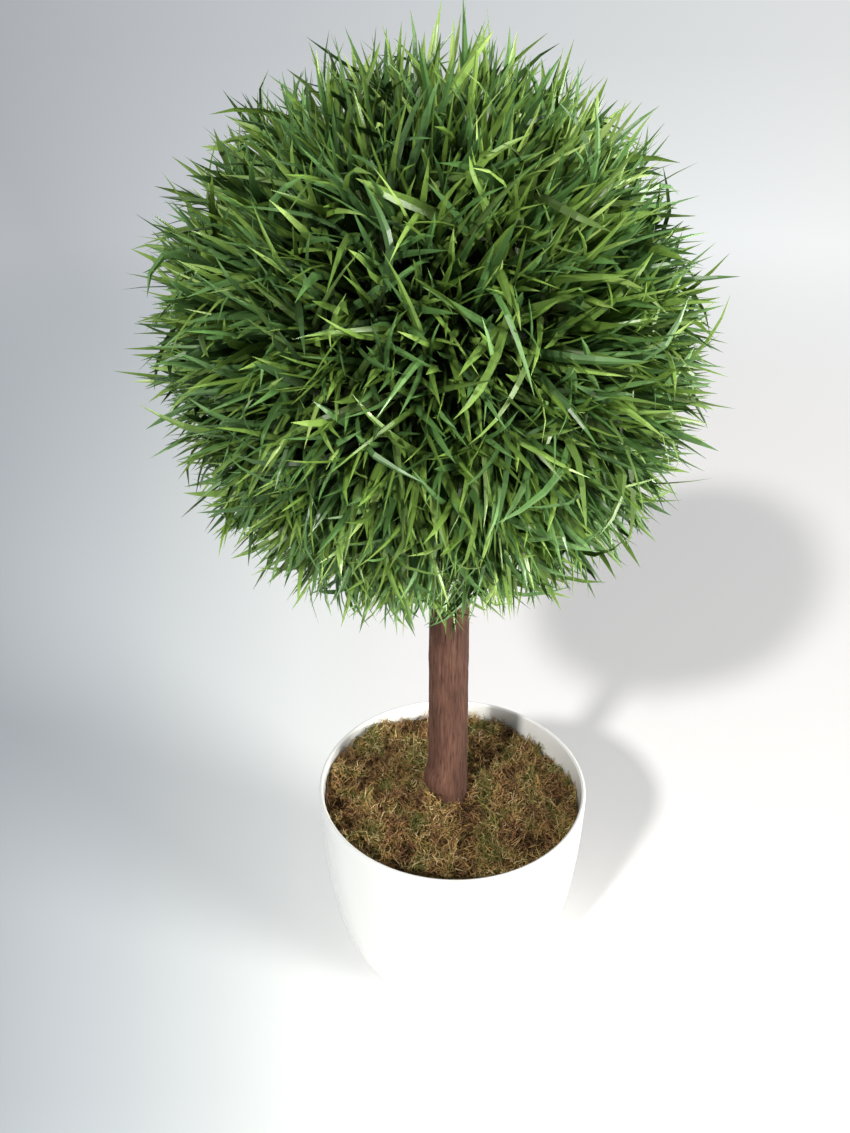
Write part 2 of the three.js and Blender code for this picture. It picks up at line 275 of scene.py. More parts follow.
def mesh_piece(name, points, faces, material, replaced):
    """A piece from points and four-cornered faces. A face whose last two corners agree is a triangle."""
    mesh = bpy.data.meshes.new(name)
    mesh.from_pydata(points.tolist(), [], [face[:3] if face[2] == face[3] else face for face in faces])
    mesh.materials.append(material)
    return finished(name, mesh, replaced, SMOOTH_BELOW)


def quad_piece(name, points, quads, material, replaced):
    """A piece from large arrays of points and quads."""
    mesh = bpy.data.meshes.new(name)
    mesh.vertices.add(len(points))
    mesh.vertices.foreach_set("co", points.astype(np.float32).ravel())
    mesh.loops.add(quads.size)
    mesh.loops.foreach_set("vertex_index", quads.astype(np.int32).ravel())
    mesh.polygons.add(len(quads))
    mesh.polygons.foreach_set("loop_start", np.arange(0, quads.size, 4, dtype=np.int32))
    mesh.update(calc_edges=True)
    mesh.materials.append(material)
    return finished(name, mesh, replaced, SMOOTH_BELOW)


def finished(name, mesh, replaced, smooth_below):
    """The mesh as a smooth-shaded piece that stands for a CAD node, whose part it hides."""
    mesh.polygons.foreach_set("use_smooth", [True] * len(mesh.polygons))
    mesh.set_sharp_from_angle(angle=smooth_below)
    piece = bpy.data.objects.new(name, mesh)
    bpy.context.scene.collection.objects.link(piece)
    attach(piece, "root")
    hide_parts(replaced)
    return piece


def capped_faces(rings, facets):
    """Faces of a tube of rings of points, closed at a low and a high pole that come after the rings."""
    low_pole, high_pole = rings * facets, rings * facets + 1
    last = (rings - 1) * facets
    faces = []
    for i in range(facets):
        j = (i + 1) % facets
        faces.append((j, i, low_pole, low_pole))
        faces.append((last + i, last + j, high_pole, high_pole))
        for ring in range(0, last, facets):
            faces.append((ring + i, ring + j, ring + facets + j, ring + facets + i))
    return faces


def turned(profile, facets):
    """Points and faces of a profile of (radius, height), from axis to axis, turned about the Z axis."""
    angles = np.arange(facets) * 2 * math.pi / facets
    rings = [
        np.stack([radius * np.cos(angles), radius * np.sin(angles), np.full(facets, height)], axis=1)
        for radius, height in profile[1:-1]
    ]
    points = np.concatenate([*rings, [[0, 0, profile[0][1]]], [[0, 0, profile[-1][1]]]])
    return points, capped_faces(len(rings), facets)


def arc(middle, radius, start, end, steps):
    """Points of (radius, height) round middle, from one angle to another in degrees."""
    angles = np.radians(np.linspace(start, end, steps + 1))
    return [(middle[0] + radius * math.cos(a), middle[1] + radius * math.sin(a)) for a in angles]


# ---------------------------------------------------------------- pot


def pot_side(rim, foot, top, bottom, steps):
    """The side as (radius, height): a quarter ellipse, upright at the rim and level at the foot."""
    turns = np.linspace(0, math.pi / 2, steps + 1)
    return [(foot + (rim - foot) * math.cos(t), top - (top - bottom) * math.sin(t)) for t in turns]


def pot_inside(height):
    """Radius of the pot's inside at a height."""
    depth = (POT_SHOULDER - height) / (POT_SHOULDER - POT_FLOOR)
    foot = POT_FOOT - POT_WALL
    return foot + (POT_RIM - POT_WALL - foot) * np.sqrt(1 - depth * depth)


def make_pot():
    outer = pot_side(POT_RIM, POT_FOOT, POT_SHOULDER, 0, steps=40)
    inner = pot_side(POT_RIM - POT_WALL, POT_FOOT - POT_WALL, POT_SHOULDER, POT_FLOOR, steps=32)
    lip = arc((POT_RIM - POT_WALL / 2, POT_SHOULDER), POT_WALL / 2, 0, 180, steps=10)
    profile = [(0, 0), *reversed(outer), *lip[1:-1], *inner, (0, POT_FLOOR)]
    mesh_piece("pot_shell", *turned(profile, facets=160), pot_plastic(), "pot")


# ---------------------------------------------------------------- trunk

TRUNK_SIDES = 120
TRUNK_SECTIONS = 260

# A lip of torn bark stands out low on the trunk's left, and the trunk is undercut below it.
LIP_WAY = math.radians(205)
LIP_DEPTH = 2.4 * MM
LIP_RISE = 13 * MM  # height of its middle above the moss
LIP_SPREAD = 7 * MM
UNDERCUT_RISE = 8 * MM  # where the undercut ends
UNDERCUT_FADE = 3 * MM

# Relief of the bark: depth, cells across the trunk's section, cells in a metre of its length, and seed.
RELIEF = ((0.45 * MM, 1.3, 14, 3), (0.25 * MM, 5, 45, 7), (0.2 * MM, 16, 90, 11))


def grain(angle, height, cells, stretch, seed):
    """Noise that runs round the trunk without a seam and is drawn out along it."""
    return noise.noise(Vector((math.cos(angle) * cells, math.sin(angle) * cells, height * stretch + seed)))


def trunk_radius(angle, height):
    share = (height - MOSS_MIDDLE) / (TRUNK_HIGH.z - MOSS_MIDDLE)
    straight = TRUNK_AT_MOSS + (TRUNK_AT_TOP - TRUNK_AT_MOSS) * share
    up = max(0.0, height - MOSS_MIDDLE)
    left = LIP_DEPTH * max(0.0, math.cos(angle - LIP_WAY)) ** 2
    lip = left * math.exp(-(((up - LIP_RISE) / LIP_SPREAD) ** 2))
    undercut = left * max(0.0, min(1.0, (UNDERCUT_RISE - up) / UNDERCUT_FADE))
    relief = sum(depth * grain(angle, height, *pattern) for depth, *pattern in RELIEF)
    return straight + lip - undercut + relief


def make_trunk():
    points = []
    for height in np.linspace(TRUNK_LOW.z, TRUNK_HIGH.z, TRUNK_SECTIONS + 1):
        for angle in np.arange(TRUNK_SIDES) * 2 * math.pi / TRUNK_SIDES:
            radius = trunk_radius(angle, height)
            points.append((TRUNK_X + radius * math.cos(angle), radius * math.sin(angle), height))
    points += [(TRUNK_X, 0, TRUNK_LOW.z), (TRUNK_X, 0, TRUNK_HIGH.z)]
    faces = capped_faces(TRUNK_SECTIONS + 1, TRUNK_SIDES)
    mesh_piece("trunk_bark", np.array(points), faces, bark(), "trunk")


# ---------------------------------------------------------------- grass

# The greens along a blade from its root to its tip, in two families: darker at the root partly as the
# plastic's own two-tone colour and partly as painted shade deep in the ball. A sprig keeps to one family.
GREENS = {
    "deep": ((40, 48, 29), (50, 71, 38), (66, 96, 50), (88, 126, 66), (125, 163, 99)),
    "fresh": ((46, 51, 28), (60, 79, 36), (86, 112, 47), (116, 148, 64), (161, 187, 103)),
}
SHADES = 12  # plain colours in each family
ROOT_SHADE = 0.5  # where a usual blade starts and ends among them
TIP_SHADE = 8
SPRIG_SHADES = 0.9  # how much whole sprigs and single blades differ from that
BLADE_SHADES = 1.2
FRESH_SHARE = 0.55  # share of the sprigs of the fresh family
STRAY_SHARE = 0.2  # share of the blades that leave their sprig's family

GRASS_SEED = 29
SPRIGS = 430
SPRIG_JITTER = 0.02  # how far a sprig's direction is from its even place
BLADES_IN_SPRIG = 16
TURN_JITTER = 0.25  # how far a blade's turn round its sprig is from its even place, in radians
SPRIG_DEPTH = 21 * MM  # depth of a sprig's root below the core's surface
SPRIG_SCATTER = 1.5 * MM  # how far its blades' roots are from it
SPRIG_LEAN = math.radians(36)  # most that a blade leans from its sprig

STAR_SHARE = 0.35  # share of the sprigs whose first blades spread from one point near the surface
STAR_BLADES = 4
STAR_RADIUS = 79 * MM  # distance of that point from the ball's middle
STAR_SCATTER = 0.4 * MM
STAR_LEAN = math.radians(56)
STAR_LEAN_JITTER = 0.2  # in radians
STAR_SHORTER = 3 * MM  # how much earlier its blades end

TIP_SHIFT = -1.8 * MM  # mean and scatter of the tips' distances past TIP_RADIUS and the swells
TIP_SCATTER = 4.8 * MM
LONG_SHARE = 0.018  # share of the blades that end further out
LONG_REACH = (0.4, 1)  # how much of the way from a usual tip to REACH they go
OUTWARD = ((1, 0, 0), (-1, 0, 0), (0, 1, 0), (0, -1, 0), (0, 0, 1))  # one blade each has the full reach

BLADE_STEPS = 10
BLADE_WIDTH = 2.7 * MM
WIDTH_JITTER = 0.17  # how much the blades' widths differ, as a share, and their limits
WIDTH_LIMITS = (0.6, 1.4)
OUTLINE_PLACES = (0, 0.2, 0.45, 0.7, 0.86, 0.95, 1)  # shares of a blade's length
OUTLINE_WIDTHS = (0.55, 0.85, 1, 0.93, 0.64, 0.32, 0.02)  # shares of its width there
GROOVE = 0.32  # depth of its groove and height of its keel, as shares of half its width
KEEL = 0.7 * GROOVE
UNEVEN = 0.12  # how unevenly its edges are cut
TWIST = 0.9  # in radians

LEAST_BEND = math.radians(9)
MORE_BEND = math.radians(36)  # typical bend on top of that
LONG_BEND = math.radians(8)
BEND_POWER = 1.6  # a blade bends more towards its tip
DROOP = 0.3
KNEE = math.radians(24)  # how sharply a typical blade is kinked
KNEE_PLACES = (0.5, 0.85)  # between which shares of its length
KNEE_SPAN = 0.12
STRAIGHT_SHARE = 0.45  # share of the blades without a kink
LONGEST = 1.3  # most that a curved blade's length is of the straight line to its tip
TRUNK_GAP = 0.3 * MM  # least distance of a blade from the trunk
PAST_REACH = 2 * MM  # most that any part of a blade is past REACH


def unit(vectors):
    return vectors / np.linalg.norm(vectors, axis=-1, keepdims=True)


def square_to(ways, angles):
    """A direction square to each way, turned round it by its angle."""
    poles = np.where(np.abs(ways[:, 2:]) < 0.9, UP, [1.0, 0.0, 0.0])
    first = unit(np.cross(poles, ways))
    second = np.cross(ways, first)
    return first * np.cos(angles)[:, None] + second * np.sin(angles)[:, None]


def even_directions(count):
    """Directions spread evenly over a sphere."""
    steps = np.arange(count)
    heights = 1 - 2 * (steps + 0.5) / count
    out = np.sqrt(1 - heights * heights)
    turns = steps * GOLDEN_ANGLE
    return np.stack([out * np.cos(turns), out * np.sin(turns), heights], axis=1)


def swell_at(ways):
    """How much further than the rest the blades end in each direction."""
    swell = np.zeros(len(ways))
    for toward, by in SWELLS:
        apart = np.arccos((ways @ unit(np.array(toward))).clip(-1, 1))
        swell += by * np.exp(-((apart / SWELL_SPREAD) ** 2))
    return swell


def sprig_blades(dice):
    """Each blade's root and way, and whether it is in a star, by the rule that grows the solid ball."""
    headings = unit(even_directions(SPRIGS) + dice.normal(0, SPRIG_JITTER, (SPRIGS, 3)))
    headings = np.repeat(headings, BLADES_IN_SPRIG, axis=0)
    count = len(headings)
    order = np.tile(np.arange(BLADES_IN_SPRIG), SPRIGS)
    first_turn = np.repeat(dice.uniform(0, 2 * math.pi, SPRIGS), BLADES_IN_SPRIG)
    in_star = np.repeat(dice.random(SPRIGS) < STAR_SHARE, BLADES_IN_SPRIG) & (order < STAR_BLADES)
    lean = SPRIG_LEAN * np.sqrt((order + 0.5) / BLADES_IN_SPRIG)
    lean[in_star] = dice.normal(STAR_LEAN, STAR_LEAN_JITTER, in_star.sum())
    turn = np.where(in_star, order * 2 * math.pi / STAR_BLADES, order * GOLDEN_ANGLE)
    outward = square_to(headings, first_turn + turn + dice.normal(0, TURN_JITTER, count))
    ways = headings * np.cos(lean)[:, None] + outward * np.sin(lean)[:, None]
    root_radius = np.where(in_star, STAR_RADIUS, CORE_RADIUS - SPRIG_DEPTH)[:, None]
    scatter = np.where(in_star, STAR_SCATTER, SPRIG_SCATTER)[:, None]
    roots = BALL_MIDDLE + headings * root_radius + dice.normal(0, 1, (count, 3)) * scatter
    return roots, ways, in_star


def tip_radii(ways, in_star, dice):
    """How far from the ball's middle each blade ends, and whether it is a long one."""
    usual = TIP_RADIUS + swell_at(ways)
    tips = usual + dice.normal(TIP_SHIFT, TIP_SCATTER, len(ways)) - np.where(in_star, STAR_SHORTER, 0)
    is_long = (dice.random(len(ways)) < LONG_SHARE) & ~in_star
    tips[is_long] = usual[is_long] + (REACH - usual[is_long]) * dice.uniform(*LONG_REACH, is_long.sum())
    outermost = [int(np.where(in_star, -1, ways @ side).argmax()) for side in np.array(OUTWARD)]
    tips[outermost] = REACH
    is_long[outermost] = True
    return np.minimum(tips, REACH), is_long


def blade_shades(count, dice):
    """How many shades each blade is from the usual ones, and whether it is of the fresh family."""
    shade = np.repeat(dice.normal(0, SPRIG_SHADES, SPRIGS), BLADES_IN_SPRIG)
    shade = shade + dice.normal(0, BLADE_SHADES, count)
    fresh = np.repeat(dice.random(SPRIGS) < FRESH_SHARE, BLADES_IN_SPRIG)
    return shade, fresh ^ (dice.random(count) < STRAY_SHARE)


def centre_lines(roots, ways, sides, lengths, bends, knees):
    """Points along curved blades, with each point's heading and the direction that it bends towards.
    Past its knee, given as an angle and a share of its length, a blade turns at once."""
    shares = np.linspace(0, 1, BLADE_STEPS + 1)
    angle, start = knees[:, :1], knees[:, 1:]
    turn = bends[:, None] * shares**BEND_POWER + angle * ((shares - start) / KNEE_SPAN).clip(0, 1)
    cos, sin = np.cos(turn)[..., None], np.sin(turn)[..., None]
    heading = ways[:, None] * cos + sides[:, None] * sin
    back = sides[:, None] * cos - ways[:, None] * sin
    step = (heading[:, 1:] + heading[:, :-1]) / 2 * (lengths / BLADE_STEPS)[:, None, None]
    travel = np.concatenate([np.zeros_like(step[:, :1]), np.cumsum(step, axis=1)], axis=1)
    return roots[:, None] + travel, heading, back


def lengths_to(tips, roots, ways, sides, bends, knees):
    """Lengths that bring each blade's tip near its distance from the ball's middle."""
    out = roots - BALL_MIDDLE
    along = (out * ways).sum(axis=1)
    straight = -along + np.sqrt(along * along + tips * tips - (out * out).sum(axis=1))
    lengths = straight
    for _ in range(3):
        line = centre_lines(roots, ways, sides, lengths, bends, knees)[0]
        short = tips - np.linalg.norm(line[:, -1] - BALL_MIDDLE, axis=1)
        lengths = np.minimum(lengths + short, straight * LONGEST)
    return lengths


def blade_sections(line, heading, back, widths, twists, dice):
    """Cross-sections as an array of blade, step, corner and coordinate. A section has a left edge,
    a groove, a right edge and a keel."""
    shares = np.linspace(0, 1, BLADE_STEPS + 1)
    across = np.cross(heading, back)
    roll = (twists[:, None] * shares)[..., None]
    wide = across * np.cos(roll) + back * np.sin(roll)
    face = back * np.cos(roll) - across * np.sin(roll)
    outline = np.interp(shares, OUTLINE_PLACES, OUTLINE_WIDTHS)
    half = (widths[:, None] * outline / 2)[..., None]
    left, right = (half * dice.normal(1, UNEVEN, half.shape) for _ in range(2))
    groove = face * half * GROOVE
    keel = face * half * KEEL
    return np.stack([line - wide * left + groove, line, line + wide * right + groove, line - keel], axis=2)


def clear_of_trunk(sections):
    """Whether each blade is above the ball's middle or clear of the trunk."""
    from_trunk = np.hypot(sections[..., 0] - TRUNK_X, sections[..., 1])
    clear = (sections[..., 2] > BALL_MIDDLE[2]) | (from_trunk > TRUNK_AT_MOSS + TRUNK_GAP)
    return clear.all(axis=(1, 2))


def grown_blades():
    """The sections, shades and families of the blades that keep to the ball's space."""
    dice = np.random.default_rng(GRASS_SEED)
    roots, ways, in_star = sprig_blades(dice)
    count = len(roots)
    tips, is_long = tip_radii(ways, in_star, dice)
    shade, fresh = blade_shades(count, dice)
    bends = np.abs(dice.normal(0, MORE_BEND, count)) + LEAST_BEND
    bends[is_long] = LONG_BEND
    knees = np.stack([dice.normal(0, KNEE, count), dice.uniform(*KNEE_PLACES, count)], axis=1)
    knees[is_long | (dice.random(count) < STRAIGHT_SHARE), 0] = 0
    sides = square_to(ways, dice.uniform(0, 2 * math.pi, count)) - UP * DROOP
    sides = unit(sides - ways * (sides * ways).sum(axis=1)[:, None])
    lengths = lengths_to(tips, roots, ways, sides, bends, knees)
    widths = BLADE_WIDTH * dice.normal(1, WIDTH_JITTER, count).clip(*WIDTH_LIMITS)
    line, heading, back = centre_lines(roots, ways, sides, lengths, bends, knees)
    sections = blade_sections(line, heading, back, widths, dice.normal(0, TWIST, count), dice)
    from_middle = np.linalg.norm(sections - BALL_MIDDLE, axis=-1).max(axis=(1, 2))
    kept = clear_of_trunk(sections) & (from_middle < REACH + PAST_REACH)
    return sections[kept], shade[kept], fresh[kept]


def blade_faces(count):
    """Corner numbers of the faces of count blades, as an array of blade, step, side and corner."""
    sides = np.arange(4)
    start = np.arange(count * (BLADE_STEPS + 1)).reshape(count, -1, 1)[:, :-1] * 4
    here = start + sides
    beside = start + (sides + 1) % 4
    return np.stack([here, here + 4, beside + 4, beside], axis=-1)


def family_colors(keys):
    """SHADES colours spread evenly along a family's key colours."""
    places = np.linspace(0, len(keys) - 1, SHADES)
    channels = np.array(keys, dtype=float).T
    return [srgb(*(np.interp(p, range(len(keys)), channel) for channel in channels)) for p in places]


def make_grass():
    """The blades, in a piece for each family and shade. A blade's faces get lighter towards its tip, partly
    as the plastic's own colour and partly as painted shade on the roots deep in the ball.
    """
    sections, shade, fresh = grown_blades()
    points = sections.reshape(-1, 3)
    quads = blade_faces(len(sections))
    # Partly painted shade: each step towards the root takes a darker colour.
    along = np.linspace(ROOT_SHADE, TIP_SHADE, BLADE_STEPS)
    level = np.rint(shade[:, None] + along).clip(0, SHADES - 1).astype(int)
    for family, keys in GREENS.items():
        in_family = (fresh == (family == "fresh"))[:, None]
        for number, color in enumerate(family_colors(keys)):
            chosen = quads[(level == number) & in_family].reshape(-1, 4)
            used, corners = np.unique(chosen, return_inverse=True)
            name = f"grass_{family}_{number}"
            gloss = 0.2 + 0.3 * number / SHADES
            material = plastic_grass(name, color, gloss)
            quad_piece(name, points[used], corners.reshape(-1, 4), material, "grass_ball")


def make_core():
    """The foam ball under the blades."""
    points, faces = turned(arc((0, BALL_MIDDLE[2]), CORE_RADIUS, -90, 90, steps=48), facets=96)
    points[:, 0] += BALL_MIDDLE[0]
    mesh_piece("grass_core", points, faces, core_foam(), "grass_ball")


# ---------------------------------------------------------------- moss

# The colours of the moss's fibres, each with its share of the tones from 0 to 1.
MOSS_COLORS = {
    # painted shade: the darkest colour, which goes to the fibres in the hollows
    "moss_painted_shade": ((80, 62, 40), 0.14),
    "moss_russet": ((150, 104, 76), 0.1),
    "moss_brown": ((148, 116, 78), 0.2),
    "moss_golden": ((194, 158, 100), 0.21),
    "moss_straw": ((224, 200, 150), 0.07),
    "moss_olive": ((142, 131, 74), 0.19),
    "moss_green": ((112, 114, 60), 0.09),
}

# Where the moss is heaped against the wall: a direction and a spread in degrees, and how much higher it is.
MOSS_HEAPS = ((130, 32, 8 * MM), (165, 14, 6 * MM), (66, 13, 5 * MM), (5, 12, 4 * MM), (35, 14, -2 * MM))

# A small pile beside the trunk: its middle, spread and height.
PILE_X = TRUNK_X - 11 * MM
PILE_Y = -5 * MM
PILE_SPREAD = 5 * MM
PILE_HEIGHT = 4 * MM

# Lumps of the moss: height, seed, and cells in a metre.
MOSS_LUMPS = ((3.5 * MM, 1, 65), (3.4 * MM, 2, 160), (1.6 * MM, 3, 400))

MAT_GAP = 0.9 * MM  # between the mat and the pot's wall
MAT_FACETS = 180
MAT_RINGS = 56
MAT_TOP_FROM = MOSS_BOTTOM + 1 * MM  # all of the mat's top is above this level

# Tones are dealt to the mat in patches by the rank of a noise, and the lowest ones, which take the dark
# colour of painted shade, go to its hollows.
PATCH_SCALE = 90  # cells in a metre
SHADED_HOLLOW_SHARE = 0.14
BELOW_NOISE = -9

# Sizes of the fibres, as the inputs of their node tree.
FIBRES = {
    "Density": 1.0e6,
    "Shortest": 2.4 * MM,
    "Longest": 5.6 * MM,
    "Thinnest": 0.17 * MM,
    "Thickest": 0.36 * MM,
    "Sweep": 3.2 * MM,
    "Curl": 1.7 * MM,
    "Wall": pot_inside(MOSS_EDGE) - 0.8 * MM,
}
FIBRE_SEED = 43
FIBRE_POINTS = 6
FIBRE_TILT = (0.6, 1.7)  # in radians from upright
FIBRE_TIP = 0.25  # its thickness as a share of the root's
TONE_SPREAD = 0.3  # how far a fibre's tone is from the mat's
TONE_EDGE = 0.001  # a tone past the first or last colour is held this far inside it
SWIRL_REACH = 4  # times that the noise's small swings from its mean are enlarged
SWIRLS = (("Sweep", 170, 1.3), ("Curl", 520, 0.9))  # input, cells in a metre, and power of its growth


def moss_lumps(x, y):
    return sum(height * noise.noise(Vector((x, y, seed)) * scale) for height, seed, scale in MOSS_LUMPS)


def moss_level(x, y):
    """Level of the moss at a place: highest at the trunk, with heaps and lumps."""
    out = min(1.0, math.hypot(x, y) / pot_inside(MOSS_EDGE))
    azimuth = math.degrees(math.atan2(y, x))
    heap = 0.0
    for middle, spread, height in MOSS_HEAPS:
        apart = (azimuth - middle + 180) % 360 - 180
        heap += height * math.exp(-((apart / spread) ** 2))
    pile = PILE_HEIGHT * math.exp(-(((x - PILE_X) / PILE_SPREAD) ** 2) - ((y - PILE_Y) / PILE_SPREAD) ** 2)
    return MOSS_EDGE + (MOSS_MIDDLE - MOSS_EDGE) * (1 - out**2) + heap * out**3 + moss_lumps(x, y) + pile


def make_moss_mat():
    """The mat under the fibres: a closed disc with a lumpy top, which carries its tones."""
    edge = pot_inside(MOSS_BOTTOM) - MAT_GAP
    radii = np.linspace(edge, edge / MAT_RINGS, MAT_RINGS)
    top = [*((radius, MOSS_EDGE) for radius in radii), (0, MOSS_MIDDLE)]
    points, faces = turned([(0, MOSS_BOTTOM), (edge, MOSS_BOTTOM), *top], MAT_FACETS)
    is_top = points[:, 2] > MAT_TOP_FROM
    points[is_top, 2] = [moss_level(x, y) for x, y in points[is_top, :2]]
    mat = mesh_piece("moss_mat", points, faces, moss_ground(), "moss").data

    points = np.array([vertex.co for vertex in mat.vertices])
    patch = np.array([noise.noise(Vector(point) * PATCH_SCALE) for point in points])
    hollow = np.array([moss_lumps(x, y) for x, y in points[:, :2]])
    # Painted shade: the mat's lowest places take the lowest tone, the darkest colour.
    patch[hollow < np.quantile(hollow, SHADED_HOLLOW_SHARE)] = BELOW_NOISE
    tone = mat.attributes.new("tone", "FLOAT", "POINT")
    tone.data.foreach_set("value", (np.argsort(np.argsort(patch)) / len(points)).astype(np.float32))
    return mat


class Growth(Tree):
    """Short calls for the nodes of a tree that grows something on a surface."""

    def place(self):
        return self.add("GeometryNodeInputPosition").outputs["Position"]

    def carried(self, name):
        """A number that the geometry carries."""
        return self.add("GeometryNodeInputNamedAttribute", Name=name).outputs["Attribute"]

    def random(self, low, high, seed):
        return self.add("FunctionNodeRandomValue", Min=low, Max=high, Seed=seed).outputs["Value"]

    def parts(self, vector):
        return self.add("ShaderNodeSeparateXYZ", Vector=vector).outputs

    def joined(self, x=0, y=0, z=0):
        return self.add("ShaderNodeCombineXYZ", X=x, Y=y, Z=z).outputs["Vector"]

    def moved(self, geometry, **where):
        return self.add("GeometryNodeSetPosition", Geometry=geometry, **where).outputs["Geometry"]


def points_on_mat(made, given):
    """Points on the mat's top beside the trunk, of the tones from Low to High."""
    from_trunk = made.parts(made.vector("SUBTRACT", made.place(), (TRUNK_X, 0, 0)))
    apart = made.vector("LENGTH", made.joined(from_trunk["X"], from_trunk["Y"]))
    beside_trunk = made.number("GREATER_THAN", apart, TRUNK_AT_MOSS - 1 * MM)
    on_top = made.number("GREATER_THAN", from_trunk["Z"], MAT_TOP_FROM)
    points = made.add(
        "GeometryNodeDistributePointsOnFaces",
        Mesh=given["Mat"],
        Selection=made.number("MULTIPLY", on_top, beside_trunk),
        Density=given["Density"],
        Seed=FIBRE_SEED,
    ).outputs["Points"]

    tone = made.number("ADD", made.carried("tone"), made.random(-TONE_SPREAD, TONE_SPREAD, seed=1))
    tone = made.number("MAXIMUM", made.number("MINIMUM", tone, 1 - TONE_EDGE), TONE_EDGE)
    above = made.number("GREATER_THAN", tone, given["Low"])
    wanted = made.number("MULTIPLY", above, made.number("LESS_THAN", tone, given["High"]))
    return made.add("GeometryNodeSeparateGeometry", Geometry=points, Selection=wanted).outputs["Selection"]


def lines_on_points(made, given, points):
    """Straight lines that stand on the points at all angles. Each carries half its thickness."""
    line = made.add("GeometryNodeCurvePrimitiveLine", End=(0, 0, 1)).outputs["Curve"]
    line = made.add("GeometryNodeResampleCurve", Curve=line, Count=FIBRE_POINTS).outputs["Curve"]
    turn = made.joined(x=made.random(*FIBRE_TILT, seed=2), z=made.random(0, 2 * math.pi, seed=3))
    lines = made.add(
        "GeometryNodeInstanceOnPoints",
        Points=points,
        Instance=line,
        Rotation=made.add("FunctionNodeEulerToRotation", Euler=turn).outputs["Rotation"],
        Scale=made.random(given["Shortest"], given["Longest"], seed=4),
    ).outputs["Instances"]
    half = made.random(given["Thinnest"], given["Thickest"], seed=5)
    keep = made.add("GeometryNodeStoreNamedAttribute", Geometry=lines, Name="half", Value=half)
    keep.domain = "INSTANCE"
    return made.add("GeometryNodeRealizeInstances", Geometry=keep.outputs["Geometry"]).outputs["Geometry"]


def swirled(made, given, lines, along):
    """The lines swept together by a broad noise and then curled by a fine one, most at their tips."""
    for size, scale, growth in SWIRLS:
        color = made.add("ShaderNodeTexNoise", Vector=made.place(), Scale=scale, Detail=1).outputs["Color"]
        shift = made.vector("SUBTRACT", color, (0.5, 0.5, 0.5))
        reach = made.number("MULTIPLY", given[size], SWIRL_REACH)
        reach = made.number("MULTIPLY", reach, made.number("POWER", along, growth))
        lines = made.moved(lines, Offset=made.vector("MULTIPLY", shift, made.joined(reach, reach, reach)))
    return lines


def held_inside(made, given, lines):
    """The lines with all that is past Wall brought back to it."""
    parts = made.parts(made.place())
    out = made.vector("LENGTH", made.joined(parts["X"], parts["Y"]))
    share = made.number("MINIMUM", made.number("DIVIDE", given["Wall"], out), 1)
    x, y = (made.number("MULTIPLY", parts[axis], share) for axis in "XY")
    return made.moved(lines, Position=made.joined(x, y, parts["Z"]))


def thickened(made, given, lines, along):
    """Closed three-sided tubes along the lines, in the tree's material."""
    radius = made.number("MULTIPLY", made.carried("half"), made.spread(along, 1, FIBRE_TIP))
    section = made.add("GeometryNodeCurvePrimitiveCircle", Resolution=3, Radius=1).outputs["Curve"]
    inputs = {"Curve": lines, "Profile_Curve": section, "Scale": radius, "Fill_Caps": True}
    tubes = made.add("GeometryNodeCurveToMesh", **inputs).outputs["Mesh"]
    solid = made.add("GeometryNodeRealizeInstances", Geometry=tubes).outputs["Geometry"]
    return made.add("GeometryNodeSetMaterial", Geometry=solid, Material=given["Material"]).outputs["Geometry"]


def fibre_tree():
    """A tree that covers the mat's top with curled fibres of the tones from Low to High."""
    tree = bpy.data.node_groups.new("moss_fibres", "GeometryNodeTree")
    kinds = {"Mat": "Geometry", **dict.fromkeys([*FIBRES, "Low", "High"], "Float"), "Material": "Material"}
    for name, kind in kinds.items():
        tree.interface.new_socket(name, in_out="INPUT", socket_type="NodeSocket" + kind)
    tree.interface.new_socket("Fibres", in_out="OUTPUT", socket_type="NodeSocketGeometry")
    made = Growth(tree)
    given = made.add("NodeGroupInput").outputs
    along = made.add("GeometryNodeSplineParameter").outputs["Factor"]
    lines = lines_on_points(made, given, points_on_mat(made, given))
    lines = held_inside(made, given, swirled(made, given, lines, along))
    made.add("NodeGroupOutput", Fibres=thickened(made, given, lines, along))
    return tree


def grown_mesh(name, surface, tree, **inputs):
    """The plain mesh that a node tree grows on a surface's mesh."""
    grower = bpy.data.objects.new(name, surface)
    bpy.context.scene.collection.objects.link(grower)
    modifier = grower.modifiers.new("grow", "NODES")
    modifier.node_group = tree
    for socket in tree.interface.items_tree:
        if socket.name in inputs:
            modifier[socket.identifier] = inputs[socket.name]
    depsgraph = bpy.context.evaluated_depsgraph_get()
    mesh = bpy.data.meshes.new_from_object(grower.evaluated_get(depsgraph), depsgraph=depsgraph)
    bpy.data.objects.remove(grower)
    return mesh


def make_moss():
    """The mat, and a piece of fibres for each colour."""
    mat = make_moss_mat()
    tree = fibre_tree()
    low = 0.0
    for name, (color, share) in MOSS_COLORS.items():
        material = moss_fibre(name, srgb(*color))
        mesh = grown_mesh(name, mat, tree, Low=low, High=low + share, Material=material, **FIBRES)
        finished(name, mesh, "moss", smooth_below=math.pi)
        low += share


# ---------------------------------------------------------------- camera, floor and light

CAMERA_PLACE = (-13.3 * MM, -355.4 * MM, 425.2 * MM)
CAMERA_PITCH = math.radians(90 - 28.84)
CAMERA_LENS = 29.96
FLOOR_RADIUS = 60
FLOOR_FACETS = 96

# The lights: name, direction from the ball's middle, distance, diameter, power and colour.
LIGHTS = (
    ("window", (-0.415, -0.71, 0.57), 3, 0.24, 72, (1.0, 0.98, 0.94)),
    ("bounce", (0.85, -0.5, 0.12), 3.6, 1.5, 215, (1.0, 1.0, 0.94)),
)

